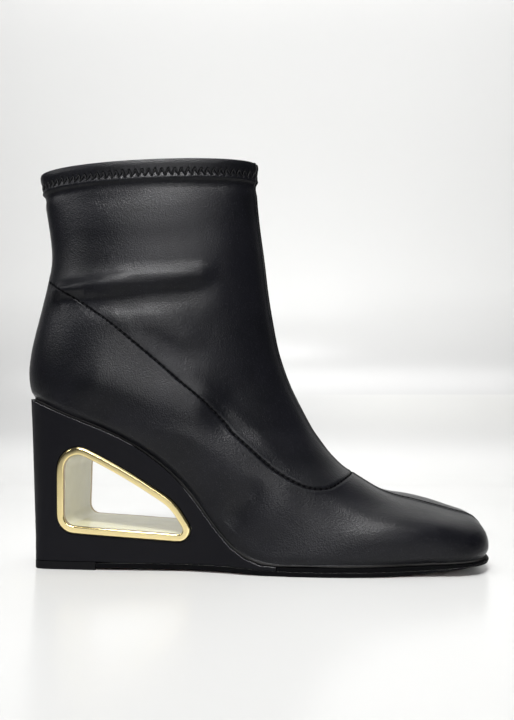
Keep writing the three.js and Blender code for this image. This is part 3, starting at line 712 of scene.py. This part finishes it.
# the lower panel laps over the diagonal seam a little
def panelLap(places, out, path, apart, which, turned):
    below = np.einsum("ij,ij->i", np.cross(flowAlong(path, which), out), places - path[which])
    run = runLength(path)
    ends = ease(run[which] / upper["lapFade"]) * ease((run[-1] - run[which]) / upper["lapFade"])
    lap = upper["lap"] * np.exp(-(apart / upper["lapWidth"]) ** 2) * ends
    return np.where(below * turned > 0, lap, 0)


# seams and hem, on the outer wall only; also the length run along the nearest seam
def outerWall(places, out, seams, drop):
    gap = np.full(len(places), upper["farOff"])
    run = np.zeros(len(places))
    skin = np.zeros(len(places))
    for number, path in enumerate(seams):
        apart, which = nearest(places, path, 12)
        shoulder = np.exp(-((apart - upper["shoulderOut"]) / upper["shoulderWidth"]) ** 2)
        skin += upper["shoulders"][number] * shoulder
        run = np.where(apart < gap, runLength(path)[which], run)
        gap = np.minimum(gap, apart)
        if number < 2:
            skin += panelLap(places, out, path, apart, which, 1 if number else -1)
    for swell in upper["hemSwells"]:
        skin += swell["height"] * np.exp(-((drop - swell["at"]) / swell["width"]) ** 2)
    return skin - upper["seamDepth"] * np.exp(-(gap / upper["seamWidth"]) ** 2), run


# distance from the lower edge of the outer wall
def footDistance(data, places, outside):
    foot = set()
    for edge in data.edges:
        a, b = edge.vertices
        if not (outside[a] and outside[b]):
            foot.update(number for number in (a, b) if outside[number]
                        and collarDrop(data.vertices[number].co) > upper["footBelow"])
    return nearest(places, places[sorted(foot)], 5)[0]


def shapeUpper():
    made = addPiece("stretch_upper", roughUpper(), [leatherSkin, lining], ["upper"])
    subdivide(made, upper["levels"])
    settle(made)
    data = made.data
    tree = treeOf(data)
    mirrored = [(x, -y, z) for x, y, z in diagonalSeam]
    seams = [layOn(tree, points) for points in (diagonalSeam, mirrored, frontSeam, backSeam)]
    refineUpper(data, seams)

    places, normals = readPoints(data)
    outside = np.zeros(len(places), bool)
    for face in data.polygons:
        if face.material_index == 0:
            outside[list(face.vertices)] = True
    out = np.where(outside[:, None], normals, -normals)
    drop = collarHeight(places[:, 0]) - places[:, 2]
    sideGap = panelGap(places, out, seams[:2])
    centreGap = panelGap(places, out, seams[2:])
    moved = bothWalls(places, drop)
    skin, run = outerWall(places, out, seams, drop)
    toFoot = footDistance(data, places, outside)
    skin -= upper["rollDepth"] * (1 - ease(toFoot / upper["rollHeight"]))  # rolls under
    places = places + out * (moved + np.where(outside, skin, 0))[:, None]
    data.vertices.foreach_set("co", (places * mm).ravel())

    # what the leather's finish reads
    angles, lengths = hemLine(treeOf(data))
    turn = np.arctan2(places[:, 1], places[:, 0] - upper["collarCentre"])
    phase = np.interp(turn, angles, lengths) / lengths[-1] * 2 * math.pi
    drop = collarHeight(places[:, 0]) - places[:, 2]
    setValue(data, "sideGap", np.where(outside, sideGap, upper["farGap"]))
    setValue(data, "centreGap", np.where(outside, centreGap, upper["farGap"]))
    setValue(data, "seamRun", run)
    setValue(data, "hemDrop", np.where(outside, drop, upper["farOff"]))
    footFar = upper["footFar"]
    setValue(data, "footGap", np.where(outside, np.minimum(toFoot, footFar), footFar))
    setValue(data, "hemSine", np.sin(phase))
    setValue(data, "hemCosine", np.cos(phase))
    for face in data.polygons:
        if face.material_index == 1:
            lowest = min(data.vertices[number].co.z for number in face.vertices)
            if lowest > (collarHeight(face.center.x / mm) - upper["hemFold"]) * mm:
                face.material_index = 0
    data.update()
    triangles = sum(len(face.vertices) - 2 for face in data.polygons)
    print("upper:", len(places), "points,", triangles, "triangles")
    return made, seams


stitches = {
    "seamLength": 1.9,
    "seamRadius": 0.2,
    "centreThicker": 1.7,
    "seamLeast": 0.5,
    "seamSink": 0.1,
    "hemRadius": 0.3,
    "hemSink": 0.08,
}


# one stitch between two points, on a surface with this normal
def addStitch(mesh, start, end, normal, radius, sink):
    start, end = Vector(start), Vector(end)
    along = (end - start).normalized()
    across = Vector(normal).cross(along).normalized()
    up = along.cross(across)
    turn = Matrix((along, across, up)).transposed().to_4x4()
    middle = (start + end) / 2 - Vector(normal) * sink
    size = Matrix.Diagonal(((end - start).length / 2, radius, radius, 1))
    place = Matrix.Translation(middle * mm) @ turn @ size @ Matrix.Scale(mm, 4)
    place = place @ Matrix.Rotation(math.pi / 2, 4, "Y")
    bmesh.ops.create_uvsphere(mesh, u_segments=6, v_segments=6, radius=1, matrix=place)


def sewSeams(surface, seams):
    tree = treeOf(surface.data)
    mesh = bmesh.new()
    for number, path in enumerate(seams):
        run = runLength(path)
        pitch = leather["stitchPitch"]
        radius = stitches["seamRadius"] * (stitches["centreThicker"] if number == 2 else 1)
        for count in range(int(run[-1] / pitch)):
            middle = (count + 1) * pitch
            ends = []
            for reach in (-0.5, 0.5):
                at = middle + reach * stitches["seamLength"]
                point = [np.interp(at, run, path[:, axis]) for axis in range(3)]
                place, normal, _, _ = tree.find_nearest(Vector(point) * mm)
                ends.append((place / mm, normal))
            (a, normal), (b, _) = ends
            if (b - a).length > stitches["seamLeast"]:
                addStitch(mesh, a, b, normal, radius, stitches["seamSink"])
    addPiece("seam_thread", mesh, [thread])


def sewHem(surface):
    tree = treeOf(surface.data)
    angles, lengths = hemLine(tree)
    mesh = bmesh.new()
    legs = 2 * leather["zigzagCount"]
    corners = []
    for number in range(legs + 1):
        angle = np.interp(number / legs * lengths[-1], lengths, angles)
        wave = 1 if number % 2 == 0 else -1
        drop = leather["zigzagMiddle"] + wave * leather["zigzagHalf"]
        corners.append(hemPoint(tree, angle, drop))
    for (a, normalA), (b, normalB) in zip(corners, corners[1:]):
        normal = (normalA + normalB).normalized()
        addStitch(mesh, a, b, normal, stitches["hemRadius"], stitches["hemSink"])
    addPiece("hem_thread", mesh, [thread])


stretchUpper, seamPaths = shapeUpper()
sewSeams(stretchUpper, seamPaths)
sewHem(stretchUpper)
print("upper sewn")


wedge = {
    "round": 0.9,
    "segments": 3,
    "sharp": 40,
    "highlightArea": 8,
    "highlightSlope": (0.25, 0.9),
    "windowX": (-96, -26),
    "windowZ": (12, 61),
    "windowY": 4,
}
rim = {"round": 0.22, "segments": 2, "levels": 1, "sharp": 30, "frontSlope": 0.5}
sleeve = {"levels": 2, "sharp": 60}
sole = {
    "round": 0.4,
    "segments": 2,
    "sharp": 50,
    "inset": 0.35,
    "sideSlope": 0.5,
    "treadSlope": -0.9,
    "highlightSlope": (0.2, 0.95),
    "toeFrom": 50,
    "toeRun": 60,
    "toeTaper": 1.7,
    "toeLeast": 0.5,
    "riseFrom": 84,
    "riseRun": 34,
    "rise": 1.5,
}


def inWindow(vert):
    x, y, z = vert.co / mm
    (back, front), (low, high) = wedge["windowX"], wedge["windowZ"]
    return back < x < front and low < z < high and abs(y) > wedge["windowY"]


def makeWedge():
    mesh = takeCopy("heel_wedge")
    edges = [edge for edge in sharpEdges(mesh, wedge["sharp"])
             if not all(inWindow(vert) for vert in edge.verts)]
    bevel(mesh, edges, wedge["round"], wedge["segments"])
    mesh.normal_update()
    # the small upward-facing bevel faces get the painted highlight
    low, high = wedge["highlightSlope"]
    for face in mesh.faces:
        if low < face.normal.z < high and face.calc_area() < wedge["highlightArea"] * mm * mm:
            face.material_index = 1
    made = addPiece("covered_wedge", mesh, [cover, wedgeEdgeHighlight], ["heel_wedge"])
    weighNormals(made)


def finishRing(name, node, mesh, materials, levels):
    made = addPiece(name, mesh, materials, [node])
    subdivide(made, levels)
    settle(made)
    weighNormals(made)


def makeRim(name, node):
    mesh = takeCopy(node)
    joinQuads(mesh)
    bevel(mesh, sharpEdges(mesh, rim["sharp"]), rim["round"], rim["segments"])
    mesh.normal_update()
    # the side faces get the darker gold: painted shade along the rim's edges
    for face in mesh.faces:
        face.material_index = 1 if abs(face.normal.y) < rim["frontSlope"] else 0
    finishRing(name, node, mesh, [gold, goldPaintedShade], rim["levels"])


def makeSleeve():
    mesh = takeCopy("window_sleeve")
    joinQuads(mesh)
    crease = mesh.edges.layers.float.new("crease_edge")
    for edge in sharpEdges(mesh, sleeve["sharp"]):
        edge[crease] = 1
    finishRing("ivory_sleeve", "window_sleeve", mesh, [ivory], sleeve["levels"])


# pulls the side faces of a plate in
def pullIn(mesh, distance):
    mesh.normal_update()
    moves = {}
    for face in mesh.faces:
        if abs(face.normal.z) < sole["sideSlope"]:
            for vert in face.verts:
                moves.setdefault(vert, Vector()).xy += face.normal.xy
    for vert, way in moves.items():
        vert.co -= way.normalized() * distance * mm


# thins a plate from below towards the toe
def thinBelow(mesh, start, length, most):
    top = BVHTree.FromBMesh(mesh)
    mesh.normal_update()
    for vert in mesh.verts:
        if vert.normal.z > 0:
            continue
        above = top.ray_cast(vert.co + Vector((0, 0, 0.01 * mm)), Vector((0, 0, 1)))[0]
        room = above.z - vert.co.z - sole["toeLeast"] * mm if above else 0
        share = ease((vert.co.x / mm - start) / length)
        vert.co.z += min(max(room, 0), share * most * mm)


def thinLayer(mesh):
    thinBelow(mesh, sole["riseFrom"], sole["riseRun"], sole["rise"])


# the outsole follows the thinner layer above it
def thinOutsole(mesh):
    thinBelow(mesh, sole["toeFrom"], sole["toeRun"], sole["toeTaper"])
    for vert in mesh.verts:
        share = ease((vert.co.x / mm - sole["riseFrom"]) / sole["riseRun"])
        vert.co.z += share * sole["rise"] * mm


def makePlate(name, node, materials, inset=0.0, change=None):
    mesh = takeCopy(node)
    if inset:
        pullIn(mesh, inset)
    if change:
        change(mesh)
    bevel(mesh, sharpEdges(mesh, sole["sharp"]), sole["round"], sole["segments"])
    mesh.normal_update()
    # with a third finish, the upward-sloping bevel faces take it: the outsole's painted highlight
    low, high = sole["highlightSlope"]
    for face in mesh.faces:
        slope = face.normal.z
        if len(materials) > 1 and slope < sole["treadSlope"]:
            face.material_index = 1
        elif len(materials) > 2 and low < slope < high:
            face.material_index = 2
    made = addPiece(name, mesh, materials, [node])
    weighNormals(made)


makeWedge()
makeRim("gold_rim_outer", "window_rim_lateral")
makeRim("gold_rim_inner", "window_rim_medial")
makeSleeve()
makePlate("sole_layer", "midsole", [edgeBlack], sole["inset"], thinLayer)
makePlate("thin_outsole", "outsole", [edgeBlack, treadBrown, edgeLit], change=thinOutsole)
makePlate("heel_plate", "top_lift", [tipRubber])
makePlate("padded_insole", "insole", [lining])
print("wedge, window and soles made")


# the studio's places and sizes are metres, its spreads are degrees
studio = {
    "camera": (0.01995, -0.39962, 0.0753),
    "turn": 2.5,
    "pitch": 4.0,
    "lens": 38.5,
    "sensor": 36,
    "halfWidth": 8.0,
    "front": -1.5,
    "bendAt": 0.42,
    "wallAt": 0.64,
    "wallTop": 2.2,
    "rows": 24,
    "rowShares": (0.5, 0.8),  # where the floor's rows end, and the bend's
    "world": (0.9, 0.92, 0.95, 1),
    "worldStrength": 0.06,
    "lights": {
        "overhead": {"at": (0, -0.05, 1.3), "to": (0, -0.05, 0), "size": (1.1, 0.9),
                     "watts": 1.25, "spread": 60},
        "key": {"at": (-0.12, -0.78, 1.2), "to": (-0.02, 0, 0.12), "size": (0.52, 0.25),
                "watts": 1.8, "spread": 50},
        "front_soft": {"at": (0, -1.5, 0.58), "to": (0, 0, 0.12), "size": (0.55, 0.45),
                       "watts": 0.62, "spread": 45},
        "left_soft": {"at": (-0.72, -0.23, 0.57), "to": (-0.08, 0, 0.14), "size": (0.2, 0.15),
                      "watts": 0.09, "spread": 45},
        "rear_soft": {"at": (0.05, 0.48, 1.15), "to": (0, 0.02, 0.1), "size": (0.9, 0.25),
                      "watts": 0.14, "spread": 50},
        "back_wash": {"at": (0, -0.1, 1.3), "to": (0, 0.62, 0.5), "size": (1.6, 0.4),
                      "watts": 4.6, "spread": 70},
    },
}
sweepLook = {
    "specular": 0.25,
    "rough": 0.22,
    "patches": (300, 2),
    "wall": [(0.80, 0.80, 0.79, 1), (0.82, 0.82, 0.81, 1)],
    "floor": (0.72, 0.72, 0.71, 1),
    "floorUp": (0.0, 0.05),
    # painted shade: the bend's darker colour tones down the light its curve catches
    "bend": (0.56, 0.56, 0.555, 1),
    "bendUp": (0.0, 0.06),
    "bendOver": (0.1, 0.26),
    "board": (0.62, 0.62, 0.605, 1),
    "boardAcross": (-0.02, 0.16),
    "boardUp": (0.02, 0.09),
    "boardTop": (0.0985, 0.1015),
    "front": (0.16, 0.16, 0.165, 1),
    "frontEdge": (-0.40, -0.21),
}


# a pale wall that bends into the floor; its floor is darker in front of the camera, and the bend is
# darker: painted shade against the light its curve catches. Right of the boot, a patch of the bend
# with a crisp top edge is less dark
def makeSweepLook():
    look = sweepLook
    finish = Finish("paleSweep", **{"Specular IOR Level": look["specular"]})
    across, along, up = finish.split(finish.place)
    board = (1 - up.step(*look["boardTop"])) * across.step(*look["boardAcross"])
    board = board * up.step(*look["boardUp"])
    # where the bend's painted shade lies
    bend = up.step(*look["bendUp"]) * (1 - up.step(*look["bendOver"]))
    colour = finish.mix(finish.cloud(*look["patches"]), *look["wall"])
    colour = finish.mix(up.step(*look["floorUp"]), look["floor"], colour)
    colour = finish.mix(bend, colour, look["bend"])
    colour = finish.mix(board, colour, look["board"])
    colour = finish.mix(along.step(*look["frontEdge"]), look["front"], colour)
    return finish.wear(Base_Color=colour, Roughness=look["rough"])


def makeStage():
    mesh = bmesh.new()
    bmesh.ops.create_grid(mesh, x_segments=1, y_segments=studio["rows"], size=1)
    front, back, wall = studio["front"], studio["bendAt"], studio["wallAt"]
    floorEnd, bendEnd = studio["rowShares"]
    reach = wall - back
    for vert in mesh.verts:
        share = (vert.co.y + 1) / 2
        vert.co.x *= studio["halfWidth"]
        if share < floorEnd:
            vert.co.y = front + share / floorEnd * (back - front)
        elif share < bendEnd:
            turn = (share - floorEnd) / (bendEnd - floorEnd) * math.pi / 2
            vert.co.y = back + reach * math.sin(turn)
            vert.co.z = reach * (1 - math.cos(turn))
        else:
            vert.co.y = wall
            vert.co.z = reach + (share - bendEnd) / (1 - bendEnd) * studio["wallTop"]
    data = bpy.data.meshes.new("studio_sweep")
    for face in mesh.faces:
        face.smooth = True
    mesh.to_mesh(data)
    mesh.free()
    made = bpy.data.objects.new("studio_sweep", data)
    scene.collection.objects.link(made)
    data.materials.append(makeSweepLook())


def addLight(name, values):
    light = bpy.data.lights.new(name, "AREA")
    light.shape = "RECTANGLE"
    light.size, light.size_y = values["size"]
    light.energy = values["watts"]
    light.spread = math.radians(values["spread"])
    made = bpy.data.objects.new(name, light)
    place = Vector(values["at"])
    made.location = place
    way = Vector(values["to"]) - place
    made.rotation_euler = way.to_track_quat("-Z", "Y").to_euler()
    scene.collection.objects.link(made)


def makeWorld():
    world = bpy.data.worlds.new("studio")
    world.use_nodes = True
    background = world.node_tree.nodes["Background"]
    background.inputs["Color"].default_value = studio["world"]
    background.inputs["Strength"].default_value = studio["worldStrength"]
    scene.world = world
    scene.view_settings.view_transform = "Standard"


def makeCamera():
    lens = bpy.data.cameras.new("camera")
    lens.lens = studio["lens"]
    lens.sensor_width = studio["sensor"]
    made = bpy.data.objects.new("camera", lens)
    turn, pitch = math.radians(studio["turn"]), math.radians(studio["pitch"])
    level = math.cos(pitch)
    ahead = Vector((-math.sin(turn) * level, math.cos(turn) * level, math.sin(pitch)))
    made.location = studio["camera"]
    made.rotation_euler = ahead.to_track_quat("-Z", "Y").to_euler()
    scene.collection.objects.link(made)
    scene.camera = made


makeStage()
for name, values in studio["lights"].items():
    addLight(name, values)
makeWorld()
makeCamera()
print("studio ready")
